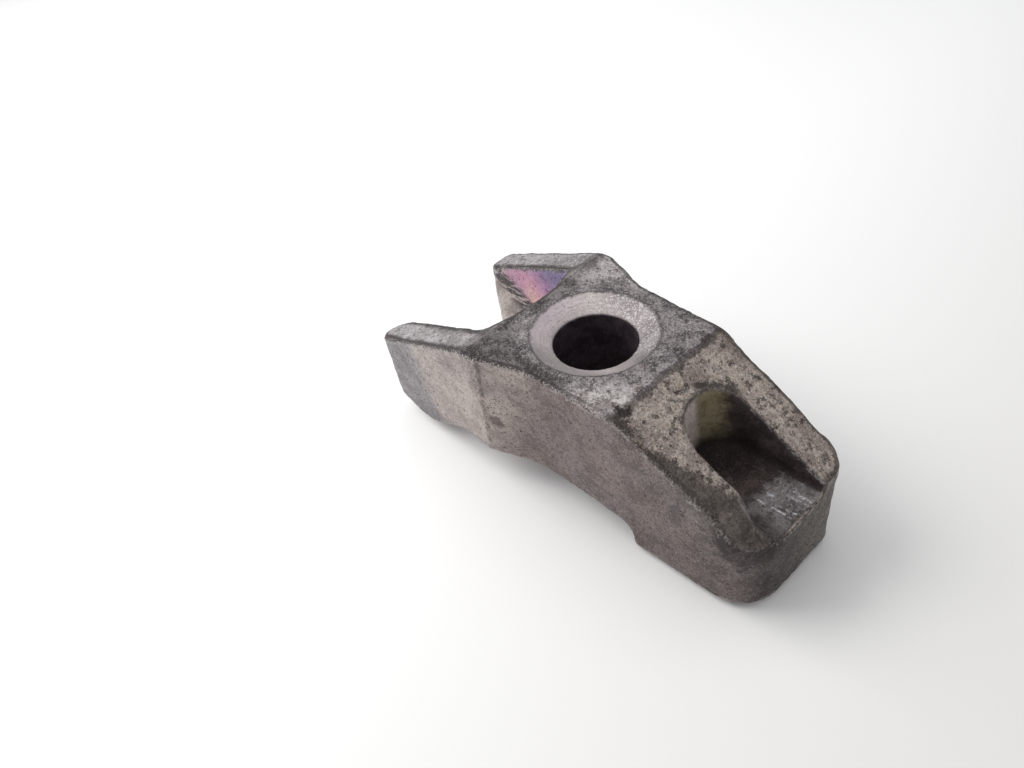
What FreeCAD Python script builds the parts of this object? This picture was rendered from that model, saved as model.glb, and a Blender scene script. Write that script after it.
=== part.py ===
import FreeCAD, Part
import math
import os
import Sketcher

# Forked hold-down clamp, forged in one piece.
# The origin is where the bolt's axis meets the boss face. +X runs to the tail,
# +Y across the clamp and +Z up along the bolt. Lengths are in mm, angles in degrees.

SIZES = (
    # bolt hole and its seat
    ("bore_diameter", 10.0),
    ("seat_diameter", 15.0),
    ("seat_angle", 120.0),
    # reach from the bolt's axis, and height from the heel to the boss
    ("overall_height", 20.9),
    ("tip_reach", 29.4),
    ("tail_reach", 28.05),
    # top face: level boss between two creases, with a slope to either end
    ("fork_crease", 9.9),
    ("fork_slope", 22.0),
    ("tail_crease", 10.8),
    ("tail_slope", 27.7),
    ("crease_radius", 3.0),
    # plan outline
    ("fork_width", 24.9),
    ("shoulder_reach", 8.4),
    ("shoulder_radius", 1.8),
    ("waist_reach", 1.8),
    ("waist_width", 19.7),
    ("waist_radius", 14.0),
    ("tail_width", 17.5),
    ("tail_near_corner", 5.0),
    ("tail_far_corner", 3.1),
    ("tip_outer_corner", 1.8),
    ("tip_inner_corner", 2.1),
    ("draft_angle", 1.8),
    # fork slot: a shallow arc for a root, and walls that flare to the tips
    ("slot_width", 14.8),
    ("slot_flare", 0.9),
    ("slot_apex", 8.3),
    ("slot_shoulder", 11.6),
    ("root_radius", 15.5),
    ("slot_corner", 1.5),
    # underside: crowned fork pads and an arch, each so far above the heel's level
    ("tip_rise", 2.1),
    ("pad_reach", 21.5),
    ("pad_rise", 0.6),
    ("pad_radius", 6.0),
    ("arch_start", 14.4),
    ("arch_front_rise", 4.45),
    ("arch_rear_rise", 3.45),
    ("arch_blend", 6.0),
    ("heel_front", 11.9),
    ("heel_radius", 1.8),
    ("heel_toe", 0.8),
    # pocket in the tail
    ("pocket_start", 13.9),
    ("pocket_width", 9.2),
    ("pocket_nose", 4.4),
    ("pocket_exit_depth", 1.65),
    ("pocket_draft", 3.0),
    ("pocket_fillet", 1.0),
    # rounded edges
    ("lower_edge", 1.2),
    ("top_edge", 0.5),
    # the most that a rounding may take: of a prong's width at its foot, or of its own wall
    ("outer_corner_share", 0.45),
    ("inner_corner_share", 0.53),
    ("lower_edge_share", 0.4),
    ("root_share", 0.97),
    ("nose_share", 0.96),
    # how far the cutting shapes, and the blank's foot, run past the clamp
    ("overrun", 6.0),
    ("foot_overrun", 2.0),
)

# how closely two places or directions have to agree to be the same
TOLERANCE = 1e-4
# the least upward share in the normal of a face that counts as a top face
UPWARD = 0.5

document = FreeCAD.newDocument("hold_down_clamp")
sheet = document.addObject("Spreadsheet::Sheet", "sizes")
for row, (name, size) in enumerate(SIZES, start=1):
    sheet.set("A%d" % row, name)
    sheet.set("B%d" % row, str(size))
    sheet.setAlias("B%d" % row, name)
document.recompute()

body = document.addObject("PartDesign::Body", "clamp")
body.Label = "clamp"
body.Placement = FreeCAD.Placement()


def value(expression):
    """What an expression on the sheet's cells comes to."""
    return float(sheet.evalExpression(expression))


def origin_plane(role):
    """The body's own XY, XZ or YZ plane."""
    return next(feature for feature in body.Origin.OriginFeatures if feature.Role == role)


def new_sketch(name, role):
    """An empty sketch on one of the body's planes."""
    sketch = body.newObject("Sketcher::SketchObject", name)
    sketch.AttachmentSupport = (origin_plane(role), "")
    sketch.MapMode = "FlatFace"
    return sketch


def bind(sketch, constraint, expression):
    """Adds a sizing constraint and ties it to cells of the sheet."""
    index = sketch.addConstraint(constraint)
    sketch.setExpression("Constraints[%d]" % index, expression)


def rounded_outline(sketch, corners):
    """A closed outline through corners given as expressions: x, y and radius (None is sharp)."""
    count = len(corners)
    points = [FreeCAD.Vector(value(x), value(y), 0) for x, y, radius in corners]
    ends = []
    arcs = []
    for i, (x, y, radius) in enumerate(corners):
        before = (points[i - 1] - points[i]).normalize()
        after = (points[(i + 1) % count] - points[i]).normalize()
        bend = 0 if radius is None else value(radius)
        half_angle = before.getAngle(after) / 2
        setback = bend / math.tan(half_angle)
        ends.append((points[i] + before * setback, points[i] + after * setback))
        centre = points[i] + (before + after).normalize() * (bend / math.sin(half_angle))
        turns_left = before.cross(after).z < 0
        start, finish = ends[i] if turns_left else reversed(ends[i])
        arcs.append((centre, bend, start, finish, turns_left))
    lines = []
    for i in range(count):
        segment = Part.LineSegment(ends[i][1], ends[(i + 1) % count][0])
        lines.append(sketch.addGeometry(segment, False))
    for i, (x, y, radius) in enumerate(corners):
        line_in = lines[i - 1]
        line_out = lines[i]
        if radius is None:
            sketch.addConstraint(Sketcher.Constraint("Coincident", line_in, 2, line_out, 1))
            corner_at = (line_out, 1)
        else:
            centre, bend, start, finish, turns_left = arcs[i]
            circle = Part.Circle(centre, FreeCAD.Vector(0, 0, 1), bend)
            from_angle = math.atan2(start.y - centre.y, start.x - centre.x)
            to_angle = math.atan2(finish.y - centre.y, finish.x - centre.x)
            arc = sketch.addGeometry(Part.ArcOfCircle(circle, from_angle, to_angle), False)
            first, last = (1, 2) if turns_left else (2, 1)
            sketch.addConstraint(Sketcher.Constraint("Tangent", line_in, 2, arc, first))
            sketch.addConstraint(Sketcher.Constraint("Tangent", arc, last, line_out, 1))
            bind(sketch, Sketcher.Constraint("Radius", arc, bend), radius)
            corner = sketch.addGeometry(Part.Point(points[i]), True)
            sketch.addConstraint(Sketcher.Constraint("PointOnObject", corner, 1, line_in))
            sketch.addConstraint(Sketcher.Constraint("PointOnObject", corner, 1, line_out))
            corner_at = (corner, 1)
        bind(sketch, Sketcher.Constraint("DistanceX", -1, 1, *corner_at, points[i].x), x)
        bind(sketch, Sketcher.Constraint("DistanceY", -1, 1, *corner_at, points[i].y), y)


def mirrored(corners):
    """The corners of one half and, in reverse order, those of the other half across Y = 0."""
    return corners + [(x, "-(%s)" % y, radius) for x, y, radius in reversed(corners)]


def normal_of(face):
    """The outward normal in the middle of a face."""
    u_low, u_high, v_low, v_high = face.ParameterRange
    return face.normalAt((u_low + u_high) / 2, (v_low + v_high) / 2)


def faces_up(face):
    """True for the boss, the two slopes and the creases between them."""
    return normal_of(face).z > UPWARD


def runs_across(face):
    """True for the faces of the side profile, which run straight across the clamp."""
    if isinstance(face.Surface, Part.Cylinder):
        return abs(face.Surface.Axis.y) > 1 - TOLERANCE
    ends = (value("sizes.tail_reach"), value("-sizes.tip_reach"))
    on_an_end = any(abs(face.CenterOfMass.x - end) < TOLERANCE for end in ends)
    return abs(normal_of(face).y) < TOLERANCE and not on_an_end


def add_fillet(name, radius, test):
    """Rounds the edges of the body so far that pass a test."""
    base = body.Tip
    edges = ["Edge%d" % (i + 1) for i, edge in enumerate(base.Shape.Edges) if test(edge)]
    fillet = body.newObject("PartDesign::Fillet", name)
    fillet.Base = (base, edges)
    fillet.setExpression("Radius", radius)
    document.recompute()


def add_pocket(name, sketch, length, straddles=False, taper=None):
    """Cuts a sketch out of the clamp, down from the sketch's plane or equally far to both sides."""
    volume = body.Tip.Shape.Volume
    pocket = body.newObject("PartDesign::Pocket", name)
    pocket.Profile = sketch
    pocket.Midplane = straddles
    pocket.setExpression("Length", length)
    if taper:
        pocket.setExpression("TaperAngle", taper)
    document.recompute()
    if pocket.Shape.Volume > volume - TOLERANCE:
        raise ValueError("%s cuts nothing" % name)


def upright_at(reach, half_width, sides=(-1, 1)):
    """A test for the upright edges that cross Z = 0 at a reach and a half width."""
    x = value(reach)
    y = value(half_width)

    def test(edge):
        if not isinstance(edge.Curve, Part.Line):
            return False
        first, last = (vertex.Point for vertex in edge.Vertexes)
        rise = first.z - last.z
        if abs(rise) < TOLERANCE:
            return False
        crossing = first - (first - last) * (first.z / rise)
        return any(math.hypot(crossing.x - x, crossing.y - side * y) < TOLERANCE for side in sides)
    return test


def on_top_outline(edge):
    """True for the edges that bound the top faces."""
    sides = [faces_up(face) for face in body.Tip.Shape.ancestorsOfType(edge, Part.Face)]
    return any(sides) and not all(sides)


def on_lower_outline(edge):
    """True for the edges between the walls and the underside."""
    faces = body.Tip.Shape.ancestorsOfType(edge, Part.Face)
    across = [runs_across(face) for face in faces]
    return any(across) and not all(across) and not any(faces_up(face) for face in faces)


# plan outline, seen along the bolt: a blank that is taller than the clamp
plan = new_sketch("plan_outline", "XY_Plane")
rounded_outline(plan, mirrored([
    ("-sizes.tip_reach", "sizes.fork_width / 2", None),
    ("-sizes.shoulder_reach", "sizes.fork_width / 2", None),
    ("-sizes.waist_reach", "sizes.waist_width / 2", None),
    ("sizes.tail_reach", "sizes.tail_width / 2", None),
]))
blank = body.newObject("PartDesign::Pad", "blank")
blank.Profile = plan
blank.Midplane = True
blank.setExpression("Length", "2 * (sizes.overall_height + sizes.foot_overrun)")
document.recompute()

# forging draft: the side walls lean in towards the underside
side_walls = ["Face%d" % (i + 1) for i, face in enumerate(blank.Shape.Faces)
              if abs(normal_of(face).y) > TOLERANCE]
draft = body.newObject("PartDesign::Draft", "forging_draft")
draft.Base = (blank, side_walls)
draft.NeutralPlane = (origin_plane("XY_Plane"), [""])
draft.Reversed = True
draft.setExpression("Angle", "sizes.draft_angle")
document.recompute()

# a prong is narrowest at the foot of the blank, which limits the roundings there
fork_overrun = "(sizes.tip_reach + sizes.overrun)"
flare_from_shoulder = "tan(sizes.slot_flare * 1 deg) * (%s - sizes.slot_shoulder)"
half_mouth = "(sizes.slot_width / 2 + %s)" % flare_from_shoulder
foot_lean = "tan(sizes.draft_angle * 1 deg) * (sizes.overall_height + sizes.foot_overrun)"
prong_foot = "(sizes.fork_width / 2 - %s - %s)" % (half_mouth % "sizes.tip_reach", foot_lean)
tip_outer_radius = "min(sizes.tip_outer_corner; sizes.outer_corner_share * %s)" % prong_foot
tip_inner_radius = "min(sizes.tip_inner_corner; sizes.inner_corner_share * %s)" % prong_foot
lower_radius = "min(sizes.lower_edge; sizes.lower_edge_share * %s)" % prong_foot

# the outline's upright corners
add_fillet("near_tail_corner", "sizes.tail_near_corner",
           upright_at("sizes.tail_reach", "sizes.tail_width / 2", (-1,)))
add_fillet("far_tail_corner", "sizes.tail_far_corner",
           upright_at("sizes.tail_reach", "sizes.tail_width / 2", (1,)))
add_fillet("tip_outer_corners", tip_outer_radius,
           upright_at("-sizes.tip_reach", "sizes.fork_width / 2"))
add_fillet("waist_blend", "sizes.waist_radius",
           upright_at("-sizes.waist_reach", "sizes.waist_width / 2"))
add_fillet("shoulder_corners", "sizes.shoulder_radius",
           upright_at("-sizes.shoulder_reach", "sizes.fork_width / 2"))

# fork slot, cut while the prongs still stand as tall as the blank
root_rise = "((sizes.slot_shoulder - sizes.slot_apex) / (sizes.slot_width / 2))"
root_side = "(sizes.slot_width / 2 * sqrt(1 + %s ^ 2))" % root_rise
shoulder_turn = "(90 deg - atan(%s) - sizes.slot_flare * 1 deg)" % root_rise
shoulder_setback = "(sizes.slot_corner * tan(%s / 2))" % shoulder_turn
most_root = "sizes.root_share * (%s - %s) / %s" % (root_side, shoulder_setback, root_rise)
slot = new_sketch("slot_outline", "XY_Plane")
rounded_outline(slot, [
    ("-" + fork_overrun, half_mouth % fork_overrun, None),
    ("-" + fork_overrun, "-" + half_mouth % fork_overrun, None),
    ("-sizes.slot_shoulder", "-sizes.slot_width / 2", "sizes.slot_corner"),
    ("-sizes.slot_apex", "0", "min(sizes.root_radius; %s)" % most_root),
    ("-sizes.slot_shoulder", "sizes.slot_width / 2", "sizes.slot_corner"),
])
add_pocket("fork_slot", slot, "2 * (sizes.overall_height + 2 * sizes.overrun)", straddles=True)
add_fillet("tip_inner_corners", tip_inner_radius,
           upright_at("-sizes.tip_reach", half_mouth % "sizes.tip_reach"))

# side profile: all that is above and below it is cut away
tail_overrun = "(sizes.tail_reach + sizes.overrun)"
fork_fall = "(%s - sizes.fork_crease) * tan(sizes.fork_slope * 1 deg)" % fork_overrun
tail_fall = "(%s - sizes.tail_crease) * tan(sizes.tail_slope * 1 deg)" % tail_overrun
pad_slope = "(sizes.tip_rise - sizes.pad_rise) / (sizes.tip_reach - sizes.pad_reach)"
overrun_rise = "sizes.tip_rise + sizes.overrun * %s" % pad_slope
surround = "(sizes.tip_reach + 2 * sizes.overrun)"
profile = new_sketch("side_profile", "XZ_Plane")
rounded_outline(profile, [
    ("-sizes.fork_crease", "0", "sizes.crease_radius"),
    ("-" + fork_overrun, "-" + fork_fall, None),
    ("-" + fork_overrun, overrun_rise + " - sizes.overall_height", None),
    ("-sizes.pad_reach", "sizes.pad_rise - sizes.overall_height", "sizes.pad_radius"),
    ("-sizes.arch_start", "sizes.arch_front_rise - sizes.overall_height", "sizes.arch_blend"),
    ("sizes.heel_front", "sizes.arch_rear_rise - sizes.overall_height", "sizes.heel_radius"),
    ("sizes.heel_front", "-sizes.overall_height", "sizes.heel_toe"),
    (tail_overrun, "-sizes.overall_height", None),
    (tail_overrun, "-" + tail_fall, None),
    ("sizes.tail_crease", "0", "sizes.crease_radius"),
])
rounded_outline(profile, [
    ("-" + surround, surround, None),
    ("-" + surround, "-" + surround, None),
    (surround, "-" + surround, None),
    (surround, surround, None),
])
add_pocket("profile_trim", profile, "sizes.fork_width + 2 * sizes.overrun", straddles=True)

add_fillet("lower_edges", lower_radius, on_lower_outline)
add_fillet("top_edges", "sizes.top_edge", on_top_outline)

# bolt hole with a conical seat for the bolt's collar
bolt_circle = new_sketch("bolt_circle", "XY_Plane")
radius = value("sizes.bore_diameter / 2")
circle = bolt_circle.addGeometry(Part.Circle(FreeCAD.Vector(), FreeCAD.Vector(0, 0, 1), radius))
bolt_circle.addConstraint(Sketcher.Constraint("Coincident", circle, 3, -1, 1))
bind(bolt_circle, Sketcher.Constraint("Radius", circle, radius), "sizes.bore_diameter / 2")
document.recompute()
solid_volume = body.Tip.Shape.Volume
hole = body.newObject("PartDesign::Hole", "bolt_hole")
hole.Profile = bolt_circle
hole.DepthType = "ThroughAll"
hole.HoleCutType = "Countersink"
hole.setExpression("Diameter", "sizes.bore_diameter")
hole.setExpression("HoleCutDiameter", "sizes.seat_diameter")
hole.setExpression("HoleCutCountersinkAngle", "sizes.seat_angle")
document.recompute()
if hole.Shape.Volume > solid_volume - TOLERANCE:
    raise ValueError("bolt_hole cuts nothing")

# tail pocket: its level floor lies so far below the slope's end
tail_drop = "(sizes.tail_reach - sizes.tail_crease) * tan(sizes.tail_slope * 1 deg)"
floor_depth = "(%s + sizes.pocket_exit_depth)" % tail_drop
most_nose = "sizes.nose_share * sizes.pocket_width / 2"
pocket_outline = new_sketch("pocket_outline", "XY_Plane")
rounded_outline(pocket_outline, mirrored([
    ("sizes.pocket_start", "sizes.pocket_width / 2", "min(sizes.pocket_nose; %s)" % most_nose),
    (tail_overrun, "sizes.pocket_width / 2", None),
]))
add_pocket("tail_pocket", pocket_outline, floor_depth, taper="-sizes.pocket_draft")


def on_pocket_floor(edge):
    """True for the edges where the pocket's walls meet its floor."""
    level = all(abs(vertex.Z + value(floor_depth)) < TOLERANCE for vertex in edge.Vertexes)
    corner_start = value("sizes.tail_reach - sizes.tail_near_corner")
    return level and any(vertex.X < corner_start for vertex in edge.Vertexes)


add_fillet("pocket_floor_edges", "sizes.pocket_fillet", on_pocket_floor)

for item in document.Objects:
    if "Invalid" in item.State or "Error" in item.State:
        raise ValueError("%s is not valid" % item.Name)
    if item.isDerivedFrom("PartDesign::Feature") and (item.Shape.isNull() or not item.Shape.isValid()):
        raise ValueError("%s has no valid shape" % item.Name)
finished = body.Tip.Shape
if len(finished.Solids) != 1:
    raise ValueError("the clamp is not one solid")
print("clamp: %.0f mm3" % finished.Volume)
os.makedirs("parts", exist_ok=True)
finished.exportStep("parts/clamp.step")
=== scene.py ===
# %% [markdown]
# # A fuel injector clamp, forged in steel
#
# The real part is one drop forging. A fork with two prongs presses an injector into the
# cylinder head, a bolt through the middle pulls the clamp down, and the tail rocks on its
# heel. After years under a rocker cover it is grey-brown, speckled and sooty, and one
# prong shows the violet and pink of heated steel.
#
# The shape comes from the CAD model, which is loaded first and sets size and place for
# everything after it. All lengths are in metres, so a millimetre gets a name of its own.

# %% Load the frame
import math
import bpy
import bmesh
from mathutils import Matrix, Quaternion, Vector


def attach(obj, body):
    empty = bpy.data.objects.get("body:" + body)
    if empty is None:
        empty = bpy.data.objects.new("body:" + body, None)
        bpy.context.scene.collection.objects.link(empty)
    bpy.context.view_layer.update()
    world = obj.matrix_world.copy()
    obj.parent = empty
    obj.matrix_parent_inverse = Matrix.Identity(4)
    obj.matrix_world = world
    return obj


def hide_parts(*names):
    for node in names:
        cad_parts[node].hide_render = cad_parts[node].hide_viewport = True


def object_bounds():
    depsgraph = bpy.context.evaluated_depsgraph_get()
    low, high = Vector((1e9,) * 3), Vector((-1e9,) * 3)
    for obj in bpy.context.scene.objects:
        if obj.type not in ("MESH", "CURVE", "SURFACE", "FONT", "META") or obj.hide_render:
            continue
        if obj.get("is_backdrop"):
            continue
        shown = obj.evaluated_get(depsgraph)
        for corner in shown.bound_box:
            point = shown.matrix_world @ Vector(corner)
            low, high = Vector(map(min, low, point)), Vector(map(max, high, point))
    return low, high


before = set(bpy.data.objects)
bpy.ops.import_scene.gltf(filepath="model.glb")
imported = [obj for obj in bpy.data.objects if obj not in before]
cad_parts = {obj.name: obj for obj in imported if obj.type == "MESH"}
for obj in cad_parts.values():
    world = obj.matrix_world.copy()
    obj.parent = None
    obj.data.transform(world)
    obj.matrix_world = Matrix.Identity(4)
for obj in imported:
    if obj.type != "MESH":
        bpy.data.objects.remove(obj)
MM = 0.001
cad_low, cad_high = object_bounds()
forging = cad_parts["clamp"]
print("CAD box in mm", [round(size / MM, 2) for size in cad_high - cad_low])

# %% [markdown]
# ## The camera
#
# A camera can be set by rotation angles, but those are hard to read. Here it has a place,
# a point that it looks at and a roll about its own line of sight, as a photographer would
# say it. The lens is short and the camera is near, about ten centimetres away: the two
# were fitted together to the outline, since the photograph tells neither by itself.

# %% Set the camera
camera_place = Vector((51.94, -49.83, 59.72)) * MM
camera_target = Vector((-9.06, -6.35, -9.0)) * MM
camera_roll = math.radians(-10.84)

camera_data = bpy.data.cameras.new("close_up")
camera_data.lens = 28.53
camera_data.sensor_width = 36
camera_data.clip_start = 5 * MM
camera_data.clip_end = 10
camera = bpy.data.objects.new("close_up", camera_data)
bpy.context.scene.collection.objects.link(camera)
camera.location = camera_place
camera.rotation_mode = "QUATERNION"
line_of_sight = (camera_target - camera_place).to_track_quat("-Z", "Y")
camera.rotation_quaternion = line_of_sight @ Quaternion((0, 0, 1), camera_roll)
bpy.context.scene.camera = camera
print("camera distance in mm", round((camera_target - camera_place).length / MM, 1))

# %% [markdown]
# ## A workbench for node trees
#
# Node trees can be wired line by line, but sums of masks soon get hard to follow. A small
# class wraps a socket, so that `1 - mask * 0.5` adds the Math nodes by itself. A second
# one, the bench, makes any other node in a single call: its type, its settings, and then
# the values or links of its sockets. Shader trees and Geometry Nodes share both.

# %% Wires and the bench
class Wire:
    """One output socket, ready for arithmetic."""

    def __init__(self, bench, socket):
        self.bench = bench
        self.socket = socket

    def sum(self, operation, first, second=None):
        """A Math node of one or two values."""
        sockets = {0: first} if second is None else {0: first, 1: second}
        return self.bench.node("ShaderNodeMath", {"operation": operation}, sockets)

    def __add__(self, other):
        return self.sum("ADD", self, other)

    def __radd__(self, other):
        return self.sum("ADD", other, self)

    def __sub__(self, other):
        return self.sum("SUBTRACT", self, other)

    def __rsub__(self, other):
        return self.sum("SUBTRACT", other, self)

    def __mul__(self, other):
        return self.sum("MULTIPLY", self, other)

    def __truediv__(self, other):
        return self.sum("DIVIDE", self, other)

    def __rtruediv__(self, other):
        return self.sum("DIVIDE", other, self)

    def __neg__(self):
        return self.sum("MULTIPLY", self, -1)

    def __abs__(self):
        return self.sum("ABSOLUTE", self)

    def __pow__(self, other):
        return self.sum("POWER", self, other)

    def least(self, other):
        return self.sum("MINIMUM", self, other)

    def most(self, other):
        return self.sum("MAXIMUM", self, other)


class Bench:
    """A node tree and the calls that add nodes to it."""

    def __init__(self, tree):
        self.tree = tree

    def node(self, kind, settings=None, sockets=None, out=0):
        """A new node: its settings, what its sockets get, and which outputs come back."""
        made = self.tree.nodes.new(kind)
        for name, choice in (settings or {}).items():
            if name == "stops":
                self.set_stops(made.color_ramp, choice)
            else:
                setattr(made, name, choice)
        for key, given in (sockets or {}).items():
            if isinstance(given, Wire):
                self.tree.links.new(given.socket, made.inputs[key])
            else:
                made.inputs[key].default_value = given
        keys = out if isinstance(out, tuple) else (out,)
        outputs = [Wire(self, made.outputs[key]) for key in keys]
        return outputs if isinstance(out, tuple) else outputs[0]

    def set_stops(self, ramp, stops):
        """Gives a colour ramp its places and colours."""
        while len(ramp.elements) < len(stops):
            ramp.elements.new(0.5)
        for element, (place, colour) in zip(ramp.elements, stops):
            element.position = place
            element.color = colour

    def ease(self, value, low, high):
        """0 below low, 1 above high, and a smooth step between them."""
        return self.node("ShaderNodeMapRange", {"interpolation_type": "SMOOTHSTEP"},
                         {"Value": value, "From Min": low, "From Max": high})

    def noise(self, at, size, detail, rough, seed):
        """Soft random values round 0.5, with lumps of about this size."""
        return self.node("ShaderNodeTexNoise", {"noise_dimensions": "4D"},
                         {"Vector": at, "W": seed, "Scale": 1 / size, "Detail": detail,
                          "Roughness": rough})

    def cells(self, at, size, out):
        """Cells round random points, about this size apart: distance, random colour."""
        return self.node("ShaderNodeTexVoronoi", {"feature": "F1"},
                         {"Vector": at, "Scale": 1 / size}, out)

    def mix(self, share, first, second):
        """A colour between two others."""
        return self.node("ShaderNodeMix", {"data_type": "RGBA", "clamp_factor": True},
                         {0: share, 6: first, 7: second}, 2)

    def parts(self, vector):
        """The three numbers of a vector or a colour."""
        return self.node("ShaderNodeSeparateXYZ", None, {0: vector}, (0, 1, 2))


def colour(red, green, blue):
    """A colour as a screen shows it, from 0 to 255, turned to the linear values of light."""
    def linear(level):
        share = level / 255
        return share / 12.92 if share <= 0.04045 else ((share + 0.055) / 1.055) ** 2.4
    return (linear(red), linear(green), linear(blue), 1.0)


print("a mid grey of 128 is", round(colour(128, 128, 128)[0], 3), "in linear light")

# %% [markdown]
# ## The forged skin: an even net
#
# A CAD surface is exact, and a forging isn't. Its faces swell a little, its edges waver and
# scale leaves shallow dents. Sculpting could add that, but a rule that covers the whole
# skin is quicker and can be tuned. It needs points that are spread evenly, and the CAD mesh
# has long thin triangles, so a voxel remesh lays an even net over a copy of it first.

# %% Lay an even net over a copy of the CAD mesh
NET_SIZE = 0.29 * MM
MERGE_REACH = 0.001 * MM

cast = bmesh.new()
cast.from_mesh(forging.data)
bmesh.ops.remove_doubles(cast, verts=cast.verts, dist=MERGE_REACH)
print("open edges in the merged copy", sum(1 for edge in cast.edges if not edge.is_manifold))
skin_mesh = bpy.data.meshes.new("clamp_skin")
cast.to_mesh(skin_mesh)
cast.free()
skin = bpy.data.objects.new("clamp_skin", skin_mesh)
bpy.context.scene.collection.objects.link(skin)

net = skin.modifiers.new("net", "REMESH")
net.mode = "VOXEL"
net.voxel_size = NET_SIZE
net.use_smooth_shade = True

# %% [markdown]
# ## The forged skin: swell, dents and worn edges
#
# The net could take a Displace modifier for each kind of roughness, but one Geometry
# Nodes tree holds all of them in order. Each point is pulled back to the exact CAD face
# first, because a remesh cuts corners. One corner of the tail is worn down: its points
# sink towards the pocket's floor and are blurred, less so with the distance. Then noise
# moves each point along its normal: a slow swell, a finer grain and sparse dents. The
# machined bore and bolt seat are held still.
#
# The tree also compares each point with the blurred net round it. Where the point stands
# proud the surface is an edge, where it lies deep it is a crease, and the paint later
# reads this as an attribute. Every size is a named input, and the seed is fixed.

# %% Build the tree of the forged skin
WEAR_CORE, WEAR_BLUR = 0.25, 30
EDGE_BLUR = 9
DENT_RIM = (0.08, 0.26)
SEAT_BORDER = 0.5 * MM


def skin_tree(exact):
    """The rule that turns an even net into a forged skin."""
    tree = bpy.data.node_groups.new("forged_skin", "GeometryNodeTree")
    tree.interface.new_socket("Net", in_out="INPUT", socket_type="NodeSocketGeometry")
    for name, start in (("Swell size", 4.5 * MM), ("Swell depth", 0.22 * MM),
                        ("Grain size", 1.1 * MM), ("Grain depth", 0.14 * MM),
                        ("Dent size", 2.6 * MM), ("Dent depth", 0.12 * MM), ("Seed", 4.0),
                        ("Seat radius", 7.9 * MM), ("Wear radius", 5.6 * MM),
                        ("Wear share", 0.8), ("Floor level", -10.7 * MM)):
        socket = tree.interface.new_socket(name, in_out="INPUT", socket_type="NodeSocketFloat")
        socket.default_value = start
    worn_corner = tree.interface.new_socket("Worn corner", in_out="INPUT",
                                            socket_type="NodeSocketVector")
    worn_corner.default_value = (27.0 * MM, -6.4 * MM, -9.6 * MM)
    tree.interface.new_socket("Finish", in_out="INPUT", socket_type="NodeSocketMaterial")
    tree.interface.new_socket("Skin", in_out="OUTPUT", socket_type="NodeSocketGeometry")

    bench = Bench(tree)
    given = tree.nodes.new("NodeGroupInput")
    read = {socket.name: Wire(bench, socket) for socket in given.outputs if socket.name}

    place = bench.node("GeometryNodeInputPosition")
    target = bench.node("GeometryNodeObjectInfo", {"transform_space": "ORIGINAL"},
                        {"Object": exact}, "Geometry")
    nearest = bench.node("GeometryNodeProximity", {"target_element": "FACES"},
                         {0: target}, "Position")
    exact_net = bench.node("GeometryNodeSetPosition", None,
                           {"Geometry": read["Net"], "Position": nearest})

    from_corner = bench.node("ShaderNodeVectorMath", {"operation": "DISTANCE"},
                             {0: place, 1: read["Worn corner"]}, "Value")
    wear = 1 - bench.ease(from_corner, read["Wear radius"] * WEAR_CORE, read["Wear radius"])
    height = (bench.parts(place)[2] - read["Floor level"]).most(0)
    drop = bench.node("ShaderNodeCombineXYZ", None, {2: -(height * wear * read["Wear share"])})
    sunken = bench.node("GeometryNodeSetPosition", None, {"Geometry": exact_net, "Offset": drop})
    soft = bench.node("GeometryNodeBlurAttribute", {"data_type": "FLOAT_VECTOR"},
                      {"Value": place, "Iterations": WEAR_BLUR})
    rubbed = bench.node("ShaderNodeMix", {"data_type": "VECTOR"}, {0: wear, 4: place, 5: soft}, 1)
    worn_net = bench.node("GeometryNodeSetPosition", None,
                          {"Geometry": sunken, "Position": rubbed})

    blurred = bench.node("GeometryNodeBlurAttribute", {"data_type": "FLOAT_VECTOR"},
                         {"Value": place, "Iterations": EDGE_BLUR})
    offset = bench.node("ShaderNodeVectorMath", {"operation": "SUBTRACT"}, {0: place, 1: blurred})
    normal = bench.node("GeometryNodeInputNormal")
    proud = bench.node("ShaderNodeVectorMath", {"operation": "DOT_PRODUCT"},
                       {0: offset, 1: normal}, "Value")
    marked = bench.node("GeometryNodeStoreNamedAttribute",
                        {"data_type": "FLOAT", "domain": "POINT"},
                        {"Geometry": worn_net, "Name": "proud", "Value": proud / MM})

    x, y, z = bench.parts(place)
    reach = (x * x + y * y) ** 0.5
    free = bench.ease(reach, read["Seat radius"], read["Seat radius"] + SEAT_BORDER)

    def lumps(size, seed, detail):
        return bench.node("ShaderNodeTexNoise", {"noise_dimensions": "4D"},
                          {"Vector": place, "W": seed, "Scale": 1 / size, "Detail": detail}) - 0.5

    swell = lumps(read["Swell size"], read["Seed"], 1.0) * read["Swell depth"]
    grain = lumps(read["Grain size"], read["Seed"] + 3, 3.0) * read["Grain depth"]
    dent = bench.ease(lumps(read["Dent size"], read["Seed"] + 7, 2.0), *DENT_RIM)
    dent = dent * read["Dent depth"]
    move = (swell * 2 + grain * 2 - dent) * free
    push = bench.node("ShaderNodeVectorMath", {"operation": "SCALE"}, {0: normal, "Scale": move})
    moved = bench.node("GeometryNodeSetPosition", None, {"Geometry": marked, "Offset": push})
    smooth = bench.node("GeometryNodeSetShadeSmooth", None, {0: moved, "Shade Smooth": True})
    whole = bench.node("GeometryNodeRealizeInstances", None, {0: smooth})
    finished = bench.node("GeometryNodeSetMaterial", None,
                          {"Geometry": whole, "Material": read["Finish"]})
    result = tree.nodes.new("NodeGroupOutput")
    tree.links.new(finished.socket, result.inputs["Skin"])
    return tree


def set_input(modifier, name, value):
    """Sets one input of a tree by its name, through the socket's identifier."""
    for item in modifier.node_group.interface.items_tree:
        if item.item_type == "SOCKET" and item.in_out == "INPUT" and item.name == name:
            modifier[item.identifier] = value


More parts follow.
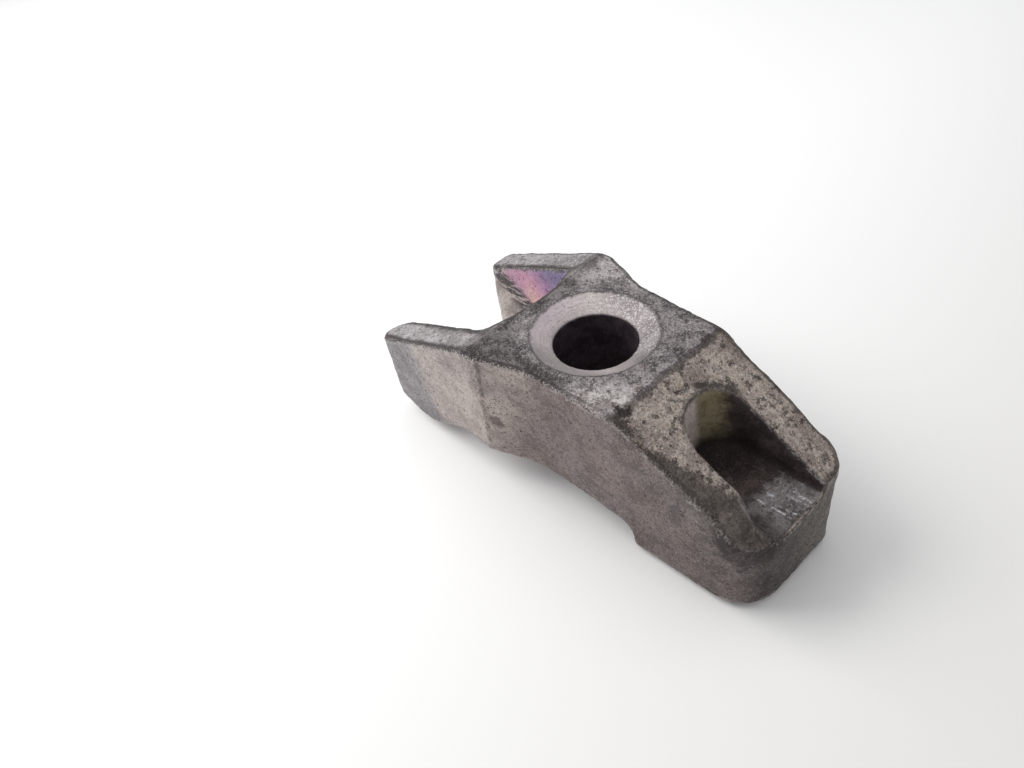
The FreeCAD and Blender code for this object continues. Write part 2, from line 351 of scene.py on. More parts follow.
# %% [markdown]
# ## The paint: where on the forging a point lies
#
# One material covers the whole forging, as one piece of steel does. Its colours change by
# region, so the shader first works out where it is. Object coordinates in millimetres
# and the direction of the surface are enough for that: the top of the boss, the tail
# slope, the pocket, the inner faces of the fork. Painting an image would also do it, but
# masks made from coordinates stay sharp at any distance and need no file.

# %% Read the place and the direction
steel = bpy.data.materials.new("forged_steel_worn")
steel.use_nodes = True
steel.node_tree.nodes.clear()
paint = Bench(steel.node_tree)

here = paint.node("ShaderNodeTexCoord", None, None, "Object")
at = paint.node("ShaderNodeVectorMath", {"operation": "SCALE"}, {0: here, "Scale": 1 / MM})
x, y, z = paint.parts(at)
facing = paint.node("ShaderNodeNewGeometry", None, None, "Normal")
nx, ny, nz = paint.parts(facing)
proud = paint.node("ShaderNodeAttribute", {"attribute_name": "proud"}, None, "Fac")

print("nodes for the coordinates", len(steel.node_tree.nodes))

# %% [markdown]
# ## The paint: the palette
#
# Old forged steel isn't one grey. Oil, heat and handling leave it pinkish grey-brown on
# the flanks, beige on the tail and pale on the prongs. The colours could stand where they
# are used, but then nobody sees how they sit together. So they are listed here by name,
# with the values that a screen shows. A skin has a dark and a light colour, because no
# region of a used forging is even.

# %% List the colours
SKINS = {
    "flank": ((116, 103, 100), (146, 132, 128)),
    "flank_by_fork": ((156, 144, 139), (190, 177, 171)),
    "flank_by_tail": ((102, 92, 89), (140, 127, 123)),
    "flank_low": ((66, 58, 56), (90, 81, 78)),
    # painted shade round the tail's near corner
    "tail_corner_shade": ((66, 60, 57), (92, 85, 80)),
    "tinted": ((100, 98, 99), (138, 134, 134)),
    "prong_side": ((170, 158, 154), (202, 190, 184)),
    "prong_top": ((122, 115, 115), (178, 172, 173)),
    "prong_inside": ((156, 146, 142), (208, 197, 191)),
    # painted reflection: blue-grey on the rounded outer tips of the prongs
    "prong_tip_reflection": ((120, 119, 124), (148, 147, 152)),
    "slot_root": ((72, 62, 64), (100, 88, 90)),
    "boss": ((78, 72, 73), (158, 150, 150)),
    "boss_pale": ((142, 134, 131), (208, 201, 197)),
    "tail_top": ((134, 121, 113), (188, 175, 163)),
    # painted shade on the tail's end face, where it turns away from the light
    "end_deeper_shade": ((70, 63, 60), (92, 85, 80)),
    "end_lighter_shade": ((96, 89, 82), (128, 120, 112)),
    "nose": ((124, 112, 86), (160, 148, 118)),
    "nose_strip": ((196, 182, 174), (226, 213, 205)),
    # painted shadow on the pocket's far wall and painted shade deep in the pocket, two lines
    # below
    "wall_far_shadow": ((56, 46, 47), (80, 69, 68)),
    "wall_near": ((92, 86, 82), (130, 124, 118)),
    "wall_deep_shade": ((40, 31, 29), (56, 45, 42)),
    "floor_dark": ((42, 33, 30), (62, 50, 45)),
    "floor_brown": ((60, 50, 46), (86, 74, 69)),
    "floor_bare": ((78, 72, 71), (122, 117, 116)),
    # painted shade on the seat's far side
    "seat_shade": ((112, 105, 103), (138, 131, 129)),
    "bore": ((58, 48, 54), (84, 73, 80)),
}
COLOURS = {
    "rust": (96, 78, 74),
    "floor_grain": (176, 174, 176),
    "scratch": (220, 220, 222),
    "magenta": (194, 144, 186),
    "smudge": (50, 44, 46),
    # painted reflection along the prongs' low rim
    "prong_rim": (124, 121, 124),
    "light_grain": (222, 214, 208),
    "dark_grain": (48, 42, 41),
    "soot_dark": (22, 16, 14),
    "soot_light": (56, 46, 42),
    # painted glints on crystals, on edges and along the shoulder
    "crystal_glint": (202, 197, 194),
    "burr": (180, 172, 166),
    "edge_glint": (206, 200, 196),
    "shoulder_glint": (196, 190, 186),
    "crease": (44, 38, 36),
    "seat_dark": (160, 151, 148),
    "seat_light": (198, 189, 185),
    # lavender tint with painted light on the seat's left, then painted shade on its near side and
    # painted highlights on its far side
    "seat_lavender_light": (206, 186, 200),
    "seat_near_shade": (120, 114, 114),
    "seat_painted_highlight": (228, 226, 226),
    "seat_speck": (92, 86, 88),
}
HEAT_STOPS = ((0.0, (144, 132, 172)), (0.25, (172, 138, 180)), (0.55, (214, 162, 190)),
              (0.80, (240, 184, 192)), (1.0, (236, 196, 186)))
print("colours in the palette", 2 * len(SKINS) + len(COLOURS) + len(HEAT_STOPS))

# %% [markdown]
# ## The paint: grain at four sizes
#
# Scale on forged steel is rough at every size: patches of a few millimetres, blotches
# with torn borders, a grain of a few tenths and single crystals that catch the light.
# Noise gives the larger ones, but its values crowd round 0.5, so a threshold on it is hard
# to aim. The crystals come from a cell pattern instead: each cell has an even random
# value, and a threshold at 0.9 picks one cell in ten. The cells are bent by a soft noise,
# because straight borders would look cut.

# %% Patches, blotches, grain and crystals
patches = paint.noise(at, 2.6, 5, 0.62, 11.0)
blotches = paint.noise(at, 1.35, 9, 0.74, 19.0)
grain = paint.noise(at, 0.34, 5, 0.72, 23.0)
flecks = paint.noise(at, 0.45, 5, 0.75, 71.0)
shift = paint.node("ShaderNodeTexNoise", {"noise_dimensions": "3D"},
                   {"Vector": at, "Scale": 3.5, "Detail": 3.0, "Roughness": 0.6}, "Color")
bent = paint.node("ShaderNodeVectorMath", {"operation": "MULTIPLY_ADD"},
                  {0: shift, 1: (0.5, 0.5, 0.5), 2: at})
coarse_dark, coarse_light, coarse_tone = paint.parts(paint.cells(bent, 0.26, "Color"))
fine_dark, fine_light, fine_tone = paint.parts(paint.cells(bent, 0.13, "Color"))

ragged = (blotches - 0.5) * 6 + (grain - 0.5) * 3.5 + (coarse_tone - 0.5) * 0.25
torn = patches * 0.3 + blotches * 0.55 + grain * 0.15 + (coarse_tone - 0.5) * 0.015
torn = paint.ease(torn, 0.520, 0.545)
patchy = patches * 0.5 + blotches * 0.4 + grain * 0.1 + (fine_tone - 0.5) * 0.05
patchy = paint.ease(patchy, 0.45, 0.55)


def sprinkle(random, share):
    """Picks this share of the cells, at random."""
    return paint.ease(random, 1 - share, 1.02 - share)


def two_tone(name):
    """A skin of the palette: its dark and its light colour, chosen by the patches."""
    dark, light = SKINS[name]
    return paint.mix(patchy, colour(*dark), colour(*light))


def tone(name):
    """A single colour of the palette."""
    return colour(*COLOURS[name])


print("nodes with the grain", len(steel.node_tree.nodes))

# %% [markdown]
# ## The paint: the regions
#
# The regions are masks between 0 and 1, made from the coordinates and the normal. Each is
# a product of smooth steps, so two regions that meet share a soft border. The seat's
# border is torn by the grain, because the cutter met an uneven skin there. The borders
# that carry a name are two places in millimetres, where the step starts and where it
# ends. The two tilts are the same for a part of the normal.

# %% Name the regions
TAIL_CREASE = 10.8
TAIL_FALL = math.tan(math.radians(27.7))
FORK_CREASE = -9.9
TOP_TILT, SIDE_TILT = (0.35, 0.75), (0.4, 0.8)
SEAT_RIM, SEAT_FOOT = (7.25, 7.75), (-1.75, -1.35)
BORE_RIM, BORE_TOP = (5.05, 5.3), (-1.65, -1.35)
POCKET_WALL, POCKET_NOSE = (4.7, 5.1), (13.2, 13.6)
POCKET_LIP, POCKET_MOUTH = (0.1, 0.7), (27.5, 27.9)
TAIL_START, TAIL_END = (10.4, 11.4), (26.6, 27.6)
PRONG_START, SHOULDER_STEP = (-10.6, -9.6), (-8.7, -8.3)
SLOT_WALL, SLOT_ROOT = (8.4, 8.9), (-8.6, -8.0)

wobble = paint.noise(at, 1.3, 4, 0.6, 2.0) - 0.5
bolt_distance = (x * x + y * y) ** 0.5
below_tail = -z - (x - TAIL_CREASE) * TAIL_FALL

upward = paint.ease(nz, *TOP_TILT)
seat = ((1 - paint.ease(bolt_distance + ragged * 0.22, *SEAT_RIM))
        * paint.ease(z, *SEAT_FOOT))
bore = (1 - paint.ease(bolt_distance, *BORE_RIM)) * (1 - paint.ease(z, *BORE_TOP))
pocket = ((1 - paint.ease(abs(y), *POCKET_WALL)) * paint.ease(x, *POCKET_NOSE)
          * paint.ease(below_tail, *POCKET_LIP) * (1 - paint.ease(x, *POCKET_MOUTH)))
pocket_floor = pocket * paint.ease(nz, 0.6, 0.9)
tail_top = upward * paint.ease(x, *TAIL_START) * (1 - pocket)
prong_top = upward * (1 - paint.ease(x, *PRONG_START))
boss_top = upward * (1 - tail_top).least(1 - prong_top) * (1 - pocket)
between_prongs = ((1 - paint.ease(abs(y), *SLOT_WALL))
                  * (1 - paint.ease(x, *SLOT_ROOT)) * (1 - upward))
near_side = paint.ease(-ny, *SIDE_TILT) * (1 - pocket) * (1 - between_prongs)
far_side = paint.ease(ny, *SIDE_TILT) * (1 - pocket) * (1 - between_prongs)
prong_side = (near_side.most(far_side)
              * (1 - paint.ease(x + (z + 9) * 0.03, *SHOULDER_STEP)))
end_face = paint.ease(x, *TAIL_END) * paint.ease(nx, 0.55, 0.85)
print("nodes for the regions", len(steel.node_tree.nodes))

# %% [markdown]
# ## The paint: the skin of each region
#
# The base is a stack of colour mixes from the widest region to the smallest. One texture
# with all colours in it could do the same, but in a stack a region is moved or toned
# without touching the others. A place such as `x * 0.78 - y * 0.62` is a slanting line on
# the forging, and ragged noise added to it tears the border.

# %% Lay the skins
base = two_tone("flank")
by_fork = paint.ease(-x + z * 0.4 + ragged * 0.6, -3.0, 3.5)
base = paint.mix(by_fork, base, two_tone("flank_by_fork"))
by_tail = paint.ease(x + z * 0.55 + ragged * 0.8, 5.0, 15.0)
base = paint.mix(by_tail, base, two_tone("flank_by_tail"))
# painted shade on the side faces round the tail's near corner, where the light falls away
near_corner = paint.ease(x * 0.78 - y * 0.62 + ragged * 0.3, 24.6, 27.2) * (1 - upward)
base = paint.mix(near_corner, base, two_tone("tail_corner_shade"))
base = paint.mix(prong_side, base, two_tone("prong_side"))
tint = paint.ease(paint.noise(at, 5.5, 3, 0.55, 81.0) + wobble * 0.15, 0.44, 0.58)
base = paint.mix(tint * 0.30, base, two_tone("tinted"))
low_flank = (paint.ease(-z + x * 0.30 + ragged * 0.8, 14.0, 23.0)
             * (1 - upward) * (1 - prong_side))
base = paint.mix(low_flank * 0.28, base, two_tone("flank_low"))

boss_pale = paint.ease(x - y * 1.1 + ragged * 1.5, 11.0, 16.0).most(
    paint.ease(y - x * 0.35 + ragged * 1.2, 8.6, 11.0) * 0.8)
boss_skin = paint.mix(boss_pale, two_tone("boss"), two_tone("boss_pale"))
rust = paint.ease(paint.noise(at, 1.6, 4, 0.6, 97.0), 0.55, 0.64) * paint.ease(x, 2.0, 7.0)
boss_skin = paint.mix(rust * 0.6, boss_skin, tone("rust"))
base = paint.mix(boss_top, base, boss_skin)
base = paint.mix(tail_top, base, two_tone("tail_top"))
base = paint.mix(prong_top, base, two_tone("prong_top"))
# painted shade on the tail's end face: darkest at its near side, less dark towards the far side
end_lighter_shade = paint.ease(y + ragged * 0.6, -3.0, 5.0)
end_painted_shade = paint.mix(end_lighter_shade, two_tone("end_deeper_shade"), two_tone("end_lighter_shade"))
base = paint.mix(end_face, base, end_painted_shade)
print("nodes with the region colours", len(steel.node_tree.nodes))

# %% [markdown]
# ## The paint: the pocket
#
# The pocket collects oil. Its nose is olive where a thin film dried, and the floor goes
# from dark brown to bare grey at the open end, where something has scratched it. The far
# wall is painted almost black as a shadow, and the walls are painted darker with depth as
# shade. The scratches are a noise that is squeezed across and drawn out along one
# direction, and only its highest ridges are kept.

# %% Colour the pocket
strip = 1 - paint.ease(y + ragged * 0.2, -0.2, 1.1)
pocket_skin = paint.mix(strip, two_tone("nose"), two_tone("nose_strip"))
# painted shadow: the far wall of the pocket is almost black
on_far_wall = paint.ease(-ny + wobble * 0.4, 0.62, 0.98)
pocket_skin = paint.mix(on_far_wall, pocket_skin, two_tone("wall_far_shadow"))
on_near_wall = paint.ease(ny, 0.3, 0.8)
pocket_skin = paint.mix(on_near_wall, pocket_skin, two_tone("wall_near"))
# painted shade: the pocket's walls darken with depth
deep = paint.ease(-z + ragged * 0.4, 7.6, 10.4)
pocket_skin = paint.mix(deep, pocket_skin, two_tone("wall_deep_shade"))
browned = paint.ease(x - y * 0.5 + ragged * 0.6, 17.5, 21.0)
floor_skin = paint.mix(browned, two_tone("floor_dark"), two_tone("floor_brown"))
bared = paint.ease(x - y * 0.25 + ragged * 0.9, 21.5, 24.5)
floor_skin = paint.mix(bared, floor_skin, two_tone("floor_bare"))


def scratches(turn, seed):
    """Thin bright strokes in one direction, a turn in degrees from X."""
    along = paint.node("ShaderNodeMapping", {"vector_type": "POINT"},
                       {"Vector": at, "Rotation": (0, 0, math.radians(-turn)),
                        "Scale": (0.3, 2.4, 1)})
    return paint.ease(paint.noise(along, 0.8, 3, 0.6, seed), 0.585, 0.635)


scratched = (paint.ease(x + ragged * 0.5, 22.3, 24.0)
             * (1 - paint.ease(abs(y - 1.4), 2.2, 3.4)))
strokes = scratches(80, 53.0).most(scratches(40, 57.0)) * paint.ease(flecks, 0.46, 0.54)
floor_grain = paint.ease(flecks, 0.51, 0.58) * scratched
floor_skin = paint.mix(floor_grain * 0.45, floor_skin, tone("floor_grain"))
floor_skin = paint.mix(strokes * scratched * 0.75, floor_skin, tone("scratch"))
pocket_skin = paint.mix(pocket_floor, pocket_skin, floor_skin)
base = paint.mix(pocket, base, pocket_skin)
print("nodes with the pocket", len(steel.node_tree.nodes))

# %% [markdown]
# ## The paint: heat colours
# Steel that was hot keeps a thin oxide film, whose colour follows the heat: violet, then
# magenta, pink and salmon. The inner face of the far prong shows it best, in a patch with
# a straight slanting border, below which the face is bare and smudged. A colour ramp
# gives the order of the colours. The outer sides of both tips and their low rims are
# blue-grey, and that is a painted reflection where the rounded tip and the lower edge turn
# away. The far one is hidden in the photograph and follows the near one.

# %% Heat colours on the fork
fork_inner = between_prongs * paint.ease(abs(ny), 0.5, 0.8)
on_far_prong = paint.ease(y, 0, 1)
base = paint.mix(fork_inner, base, two_tone("prong_inside"))

heat_along = ((-15.0 - x) * 0.61 - (z + 3.2) * 0.79) * 0.125 + wobble * 0.30
heat = paint.node("ShaderNodeValToRGB",
                  {"stops": [(place, colour(*shown)) for place, shown in HEAT_STOPS]},
                  {0: heat_along})
magenta = paint.ease(-x + ragged * 0.4, 19.2, 22.2)
heat = paint.mix(magenta * 0.7, heat, tone("magenta"))
heat_border = (x + 25.8) * 0.58 + (z + 6.5) * 0.815 + ragged * 0.35
heated = fork_inner * on_far_prong * paint.ease(heat_border + ragged * 0.3, -1.2, 0.7)
base = paint.mix(heated * 0.92, base, heat)

stroke_at = paint.node("ShaderNodeMapping", {"vector_type": "POINT"},
                       {"Vector": at, "Rotation": (0, math.radians(-35), 0),
                        "Scale": (0.35, 1, 1.6)})
stroke = paint.ease(paint.noise(stroke_at, 1.0, 5, 0.65, 91.0), 0.43, 0.50)
by_border = 1 - paint.ease(abs(heat_border + 1.5), 1.0, 2.6)
smudge = fork_inner * on_far_prong * by_border * stroke
base = paint.mix(smudge * 0.88, base, tone("smudge"))

root_wall = between_prongs * (1 - fork_inner) * paint.ease(x, -14.5, -12.5)
base = paint.mix(root_wall, base, two_tone("slot_root"))
# painted reflection: blue-grey where the rounded tip and the prong's lower edge turn away
tip_reflection = prong_side * paint.ease(-x - z * 0.2 + ragged * 0.5, 21.0, 24.8)
base = paint.mix(tip_reflection * 0.75, base, two_tone("prong_tip_reflection"))
low_rim_reflection = prong_side * paint.ease(-z + x * 0.1 + ragged * 0.4, 13.4, 15.4)
base = paint.mix(low_rim_reflection * 0.6, base, tone("prong_rim"))
print("nodes with the heat colours", len(steel.node_tree.nodes))

# %% [markdown]
# ## The paint: soot and dirt
#
# Dirt settles along the edges of the top, across its creases and in the shoulder behind
# the prong. Each deposit is a distance from a known line of the shape, and adding ragged
# noise to the distance tears its border. The deposits are then joined by taking the most
# of them, as one layer, because soot on soot isn't darker.

# %% Soot along creases, edges and corners
def band(distance, half_width):
    """A dirty strip about a line, torn at its borders."""
    off = abs(distance) + ragged * half_width * 0.7
    return 1 - paint.ease(off, half_width * 0.6, half_width * 1.1)


crease_soot = band(x - TAIL_CREASE + wobble, 0.55) * upward * (1 - pocket) * 0.75
from_blob = abs(x - 10.9) * 1.2 + abs(y + 7.6) + ragged * 0.8
crease_blob = (1 - paint.ease(from_blob, 0.7, 1.9)) * upward
ridge_line = -y - 8.0 + (x - 14.5).most(0) * 0.42
ridge_soot = (paint.ease(ridge_line + ragged * 1.1, -0.2, 0.7) * tail_top
              * (0.80 + torn * 0.16))
from_corner = ((x - 26.2) ** 2 + (y + 6.0) ** 2 + (z + 9.4) ** 2) ** 0.5
corner_soot = ((1 - paint.ease(from_corner + ragged * 0.9, 3.0, 5.0))
               * (0.60 + torn * 0.28))
far_soot = paint.ease(y + ragged * 0.5, 7.6, 8.8) * tail_top * 0.55
nose_line = ((x - 18.5) ** 2 + y ** 2) ** 0.5 - 5.0
nose_soot = (band(nose_line, 0.5) * (1 - paint.ease(x, 16.0, 18.0))
             * paint.ease(y + ragged * 0.5, 0.0, 1.4) * tail_top * 0.85)

front_soot = paint.ease(-x - y * 0.75 + ragged * 2.0, 9.2, 14.0) * boss_top * 0.60
near_soot = (paint.ease(-y + ragged * 0.5, 7.9, 8.7) * boss_top
             * (1 - paint.ease(x + ragged * 0.8, 3.5, 6.5)) * 0.62)
slot_soot = paint.ease(-x - abs(y) * 0.12 + ragged * 0.5, 7.2, 8.6) * boss_top * 0.5
seat_soot = (band(bolt_distance - 7.6 + wobble * 0.3, 0.16) * upward
             * paint.ease(patches + wobble * 0.3, 0.46, 0.56) * 0.8)

fork_line = (band(x - FORK_CREASE + wobble * 0.8, 0.32) * upward
             * paint.ease(y, 5.5, 8.0) * 0.7)
fork_soot = band(x - FORK_CREASE + 0.6, 0.9) * upward * paint.ease(abs(y), 6.0, 8.5) * 0.55
prong_rim = paint.ease(-y + ragged * 0.35, 11.0, 11.6).most(
    paint.ease(-abs(y) + ragged * 0.4, -8.9, -8.3))
prong_soot = prong_rim * prong_top * 0.8
shoulder = x + 7.7 - (z + 0.5) * 0.08 + wobble * 1.4
shoulder_soot = (band(shoulder - 0.45, 0.38) * near_side.most(far_side)
                 * paint.ease(ragged, -0.4, 0.4) * 0.6)
from_spot = ((x + 6.6) ** 2 + (z + 10.2) ** 2) ** 0.5 + ragged * 0.4
flank_spot = (1 - paint.ease(from_spot, 0.3, 1.1)) * near_side * 0.55

soot = crease_soot
for deposit in (crease_blob, ridge_soot, front_soot, near_soot, slot_soot, corner_soot,
                far_soot, fork_soot, fork_line, prong_soot, nose_soot, shoulder_soot,
                flank_spot, seat_soot):
    soot = soot.most(deposit)
soot = soot * (1 - seat)
print("nodes with the soot", len(steel.node_tree.nodes))

# %% [markdown]
# ## The paint: pits, clumps and specks
#
# Between the deposits the skin has dirt at three sizes: clumps of half a millimetre that
# are soft noise above a threshold, pits, and single dark grains. Pits could be drawn one
# by one, but a cell pattern places hundreds: the distance to the nearest of many random
# points, kept small, in only part of the cells. One soot colour then covers all of them.

# %% Pits and clumps over the base
pit_distance, pit_colour = paint.cells(at, 0.46, ("Distance", "Color"))
pit_pick = paint.parts(pit_colour)[0]
open_pits = 1 - paint.ease(pit_distance + pit_pick * 0.5, 0.26, 0.40)
pits = (open_pits * (0.25 + paint.ease(blotches, 0.45, 0.6) * 0.75)
        * (1 - seat * 0.85) * (1 - bore))
clumps = paint.noise(bent, 0.95, 2, 0.45, 31.0) + (patches - 0.5) * 0.35
clumps = paint.ease(clumps + (grain - 0.5) * 0.22, 0.560, 0.625)
clumps = (clumps * (tail_top + boss_top * 0.6) * (1 - seat)
          * (0.58 + coarse_tone * 0.37))

open_skin = (1 - seat * 0.8 - bore) * (1 - pocket * 0.75)
crystalline = open_skin * (0.55 + upward * 0.10)
light_grain = (fine_tone - 0.6).most(0) * 0.40 * crystalline
base = paint.mix(light_grain, base, tone("light_grain"))
dark_grain = (0.4 - fine_tone).most(0) * 0.65 * crystalline
base = paint.mix(dark_grain, base, tone("dark_grain"))

speck_share = 0.02 + upward * 0.03 + torn * 0.20 * (0.35 + upward * 0.45)
coarse_specks = sprinkle(coarse_dark, speck_share) * 0.75
fine_specks = sprinkle(fine_dark, 0.06 + upward * 0.02 + torn * 0.14) * 0.55
blots = torn * (0.14 + upward * 0.26)
dirt = blots.most(coarse_specks).most(fine_specks) * open_skin
dirt = soot.most(pits * 0.75).most(clumps).most(dirt)
soot_skin = paint.mix(coarse_tone * 0.5 + patchy * 0.5, tone("soot_dark"), tone("soot_light"))
base = paint.mix(dirt, base, soot_skin)
print("nodes with the dirt", len(steel.node_tree.nodes))

# %% [markdown]
# ## The paint: bright grains and worn edges
#
# Scale that has flaked off leaves bright crystals, and painted glints make them shine,
# more on faces that look up and most at the front of the boss. The edges are dirty just
# inside and rubbed bright in short runs, painted glints dot the edges that face partly
# up, and the burr along each prong's shoulder carries a painted glint. A renderer can find
# edges by itself, from how pointed the mesh is, but that value is hard to aim. The
# attribute that the skin tree stored is a height in millimetres, so it is read here, and
# noise decides where an edge is dark and where it glints.

# %% Crystals and edges over the dirt
at_front = paint.ease(-x - y * 0.75 + ragged, 4.0, 12.0)
scaly = (paint.ease(flecks + (fine_tone - 0.5) * 0.04, 0.540, 0.580)
         * (boss_top * (0.35 + at_front * 0.65)).most(prong_top * 0.8))
crystals = sprinkle(fine_light, 0.06 + upward * 0.05)
crystals = sprinkle(coarse_light, 0.015).most(crystals).most(scaly)
# painted glints on the crystals, stronger on faces that look up
glints = (crystals * (0.26 + upward * 0.12) * (1 - soot * 0.85) * (1 - pocket * 0.8)
          * (1 - bore) * (1 - seat))
base = paint.mix(glints, base, tone("crystal_glint"))

edge = paint.ease(proud + (coarse_tone - 0.5) * 0.02 + wobble * 0.1, 0.045, 0.075)
edge = edge * (1 - bore)
top_edge = edge * paint.ease(nz, 0.0, 0.4) * (1 - seat)
pocket_rim = tail_top * (1 - paint.ease(abs(y), 5.0, 5.6)) * paint.ease(x, 12.6, 13.4)
edge_run = patches * 0.6 + blotches * 0.4 + (coarse_tone - 0.5) * 0.06
edge_run = paint.ease(edge_run, 0.44, 0.52)
edge_dirt = top_edge * (0.15 + edge_run * 0.55) * (1 - pocket_rim * 0.7)
base = paint.mix(edge_dirt, base, soot_skin)

burr_run = paint.ease(blotches + (coarse_tone - 0.5) * 0.1, 0.50, 0.55)
burr = edge * (1 - paint.ease(nz, 0.35, 0.6)) * burr_run
base = paint.mix(burr * 0.55, base, tone("burr"))
# painted glints along edges that face partly up
edge_glint_chain = edge * paint.ease(nz, 0.1, 0.4) * (1 - paint.ease(nz, 0.75, 0.9))
edge_glint_chain = edge_glint_chain * (1 - by_tail * 0.7) * (1 - seat) * sprinkle(fine_light, 0.30)
base = paint.mix(edge_glint_chain * (1 - between_prongs) * 0.5, base, tone("edge_glint"))
# the burr along the shoulder, with a painted glint on it
shoulder_burr_glint = ((1 - paint.ease(abs(shoulder + 0.05), 0.06, 0.16))
                 * near_side.most(far_side) * sprinkle(coarse_light, 0.45))
base = paint.mix(shoulder_burr_glint * 0.7, base, tone("shoulder_glint"))
sunk = paint.ease(-proud, 0.03, 0.10) * (1 - seat)
base = paint.mix(sunk * 0.4, base, tone("crease"))
print("nodes with the edges", len(steel.node_tree.nodes))

# %% [markdown]
# ## The paint: machined seat and bore
#
# Only the bolt's seat was cut by a tool, so it is paler and smoother, with faint rings
# round the bolt's axis. A wave texture could draw rings, but rings of even spacing look
# printed. Noise read from the distance to the axis, and hardly from the depth, gives
# rings of uneven width.
# Its left side is tinged lavender and painted lighter as a pool of light, its far and near
# sides are painted darker as shade, and painted highlights sparkle on its far side. The
# bore below it is painted almost black.

# %% Seat rings and bore
ring_at = paint.node("ShaderNodeCombineXYZ", None, {0: bolt_distance, 1: z * 0.2})
rings = paint.noise(ring_at, 0.22, 2, 0.5, 31.0)
seat_tone = rings * 0.25 + blotches * 0.3 + grain * 0.25 + fine_tone * 0.10 + 0.05
seat_skin = paint.mix(paint.ease(seat_tone, 0.36, 0.64), tone("seat_dark"), tone("seat_light"))
# lavender tint, and painted light on the seat's left side
lavender_and_light = paint.ease(-x - y * 0.3 + ragged, 4.4, 6.8)
seat_skin = paint.mix(lavender_and_light * 0.30, seat_skin, tone("seat_lavender_light"))
# painted shade on the seat's far and near sides
far_shade = paint.ease(x * 0.62 + y * 0.70 + ragged * 0.4, -0.5, 4.5)
seat_skin = paint.mix(far_shade * 0.95, seat_skin, two_tone("seat_shade"))
near_shade = paint.ease(-y + x * 0.15 + ragged * 0.5, 3.8, 6.2)
seat_skin = paint.mix(near_shade * 0.55, seat_skin, tone("seat_near_shade"))
# painted highlights on the seat's far side
painted_highlight_share = 0.02 + paint.ease(y + x * 0.3 + ragged, 1.0, 4.5) * 0.22
painted_highlights = sprinkle(fine_light, painted_highlight_share)
seat_skin = paint.mix(painted_highlights * 0.38, seat_skin, tone("seat_painted_highlight"))
seat_skin = paint.mix(sprinkle(fine_dark, 0.06) * 0.5, seat_skin, tone("seat_speck"))
base = paint.mix(seat, base, seat_skin)
# the bore is painted dark
base = paint.mix(bore, base, two_tone("bore"))
print("nodes with the seat", len(steel.node_tree.nodes))

# %% [markdown]
# ## The finish: roughness, metal and relief
#
# Clean steel reflects as a metal, soot doesn't, so Metallic falls where dirt lies and
# Roughness rises. The relief is too fine for the mesh: a grain of a few tenths of a
# millimetre and the pits. A Bump node adds it from the same patterns as the colour, so
# that a pit is dark and deep in the same spot.

# %% Finish the material
RELIEF_DEPTH = 0.42 * MM

rough = 0.52 + (patches - 0.5) * 0.2 + dirt * 0.22 - burr * 0.1 + seat * 0.04
metal = 0.60 - dirt * 0.5 - pocket * 0.2 - seat * 0.2
relief = (grain * 0.5 + blotches * 0.7 + coarse_tone * 0.035) * (1 - seat * 0.8)
relief = relief - open_pits * 0.09 * (1 - seat) + rings * seat * 0.04
bump = paint.node("ShaderNodeBump", None,
                  {"Strength": 1.0, "Distance": RELIEF_DEPTH, "Height": relief}, "Normal")
shader = paint.node("ShaderNodeBsdfPrincipled", None,
                    {"Base Color": base, "Roughness": rough, "Metallic": metal, "Normal": bump,
                     "Specular IOR Level": 0.3},
                    "BSDF")
surface = steel.node_tree.nodes.new("ShaderNodeOutputMaterial")
steel.node_tree.links.new(shader.socket, surface.inputs["Surface"])
print("nodes in the finished steel", len(steel.node_tree.nodes))

# %% [markdown]
# ## Put the skin on
#
# The tree's inputs are set by the identifier of each socket, before the object is looked
# at for the first time. The result is then copied to a plain mesh and the modifiers go,
# because a mesh that stands by itself moves, exports and bakes without surprises. The new
# piece stands for the CAD node and rides on the part's only body.

# %% Apply the skin and hand it to the frame
forge = skin.modifiers.new("forged_skin", "NODES")
forge.node_group = skin_tree(forging)
set_input(forge, "Finish", steel)
set_input(forge, "Seed", 4.0)

view = bpy.context.evaluated_depsgraph_get()
plain = bpy.data.meshes.new_from_object(skin.evaluated_get(view), depsgraph=view)
skin.modifiers.clear()
skin.data = plain
plain.materials.clear()
plain.materials.append(steel)

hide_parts("clamp")
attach(skin, "root")
triangles = sum(len(face.vertices) - 2 for face in plain.polygons)
print("triangles in the skin", triangles)

# %% [markdown]
# ## The table
#
# The clamp lies on a pale matt table, whose colour is painted greyer beyond the tail as a
# falloff of the light. The forged skin swells past the CAD box by up to 0.15 mm, so the
# table lies that much below it. A white background could come from stronger lamps, but
# they would bleach the forging too. A faint glow that only camera, glossy and see-through
# rays can see whitens the table alone.

# %% Table
TABLE_REACH = 1.5
TABLE_LEVEL = cad_low.z - 0.16 * MM
TABLE_GLOW = 0.03

corners = [(x_side * TABLE_REACH, y_side * TABLE_REACH, TABLE_LEVEL)
           for x_side, y_side in ((-1, -1), (1, -1), (1, 1), (-1, 1))]
table_mesh = bpy.data.meshes.new("table")
table_mesh.from_pydata(corners, [], [(0, 1, 2, 3)])
table = bpy.data.objects.new("table", table_mesh)
bpy.context.scene.collection.objects.link(table)

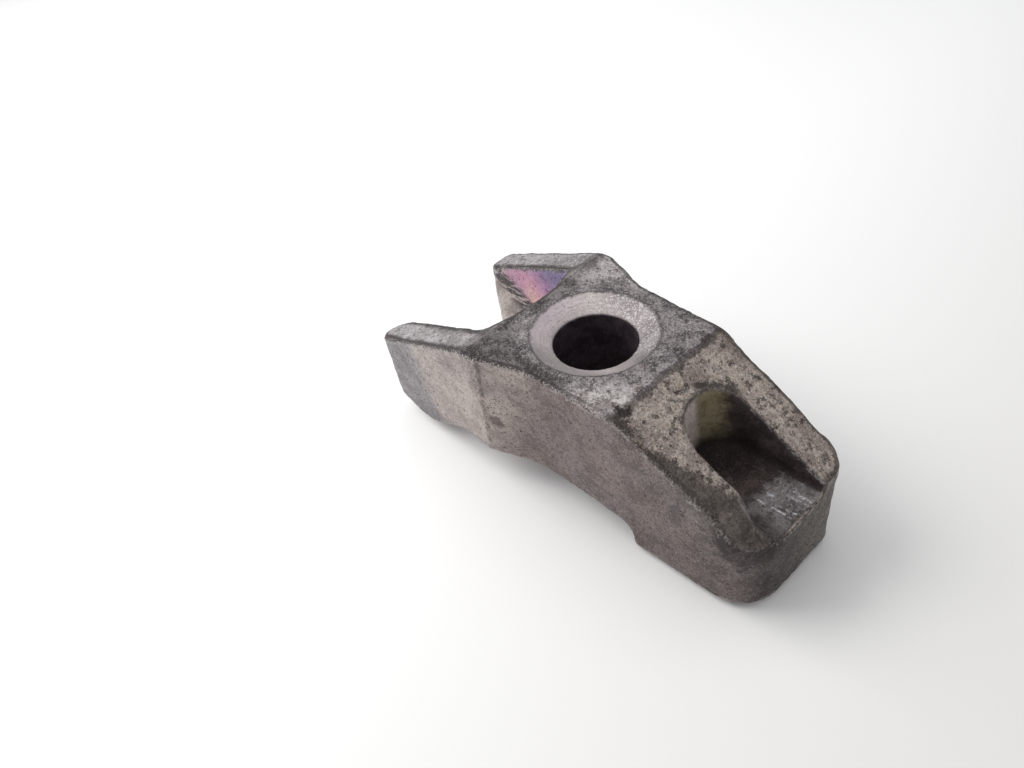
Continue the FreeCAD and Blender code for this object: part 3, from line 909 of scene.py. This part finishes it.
table_paint = bpy.data.materials.new("table_pale")
table_paint.use_nodes = True
table_paint.node_tree.nodes.clear()
cover = Bench(table_paint.node_tree)
spot = cover.node("ShaderNodeTexCoord", None, None, "Object")
# painted falloff of light: the table greys towards the tail
across = cover.ease(cover.parts(spot)[0], -40 * MM, 90 * MM)
falloff_tabletop = cover.mix(across, colour(233, 232, 230), colour(206, 204, 200))
matt = cover.node("ShaderNodeBsdfPrincipled", None,
                  {"Base Color": falloff_tabletop, "Roughness": 0.85, "Specular IOR Level": 0.1}, "BSDF")
glow = cover.node("ShaderNodeEmission", None, {"Color": (1, 1, 1, 1), "Strength": TABLE_GLOW})
both = cover.node("ShaderNodeAddShader", None, {0: matt, 1: glow})
seen, glossy, through = cover.node("ShaderNodeLightPath", None, None,
                                   ("Is Camera Ray", "Is Glossy Ray", "Is Transmission Ray"))
picked = cover.node("ShaderNodeMixShader", None,
                    {0: seen.most(glossy).most(through), 1: matt, 2: both})
top = table_paint.node_tree.nodes.new("ShaderNodeOutputMaterial")
table_paint.node_tree.links.new(picked.socket, top.inputs["Surface"])
table_mesh.materials.append(table_paint)
table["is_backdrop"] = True
print("the table lies in mm at", round(TABLE_LEVEL / MM, 2))

# %% [markdown]
# ## The lamps and the world
#
# The photograph has soft light that comes mainly from beyond the fork, so the tail's end
# is the darkest side. Many small lamps could be balanced until it fits, but two wide ones
# are easier to read: one gives the direction, one from above softens it, and the world
# fills the rest. The levels are plain, so that a colour shows about as it is written.

# %% Lamps and world
LIT_POINT = (0, 0, -0.01)


def lamp(name, place, target, size, power):
    """A square soft light, aimed at a point."""
    data = bpy.data.lights.new(name, "AREA")
    data.shape = "SQUARE"
    data.size = size
    data.energy = power
    made = bpy.data.objects.new(name, data)
    made.location = Vector(place)
    made.rotation_mode = "QUATERNION"
    made.rotation_quaternion = (Vector(target) - Vector(place)).to_track_quat("-Z", "Y")
    bpy.context.scene.collection.objects.link(made)
    return made


lamps = [lamp("window", (-0.22, -0.11, 0.22), LIT_POINT, 0.22, 1.0),
         lamp("ceiling", (-0.05, 0.10, 0.60), LIT_POINT, 0.60, 1.0)]

world = bpy.data.worlds.new("room")
world.use_nodes = True
room = world.node_tree.nodes["Background"]
room.inputs["Color"].default_value = (0.93, 0.95, 1.0, 1.0)
room.inputs["Strength"].default_value = 0.60
bpy.context.scene.world = world
bpy.context.scene.view_settings.view_transform = "Standard"
print("lamps", [made.name for made in lamps], "in watts", [made.data.energy for made in lamps])

# %% [markdown]
# ## Last look at the size
#
# The skin's box is measured against the CAD box, in millimetres.

# %% Compare the boxes and finish
shown_low, shown_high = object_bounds()
growth = [round((s - c) / MM, 3) for s, c in zip(shown_high - shown_low, cad_high - cad_low)]
print("the skin is larger than the CAD box by mm", growth)
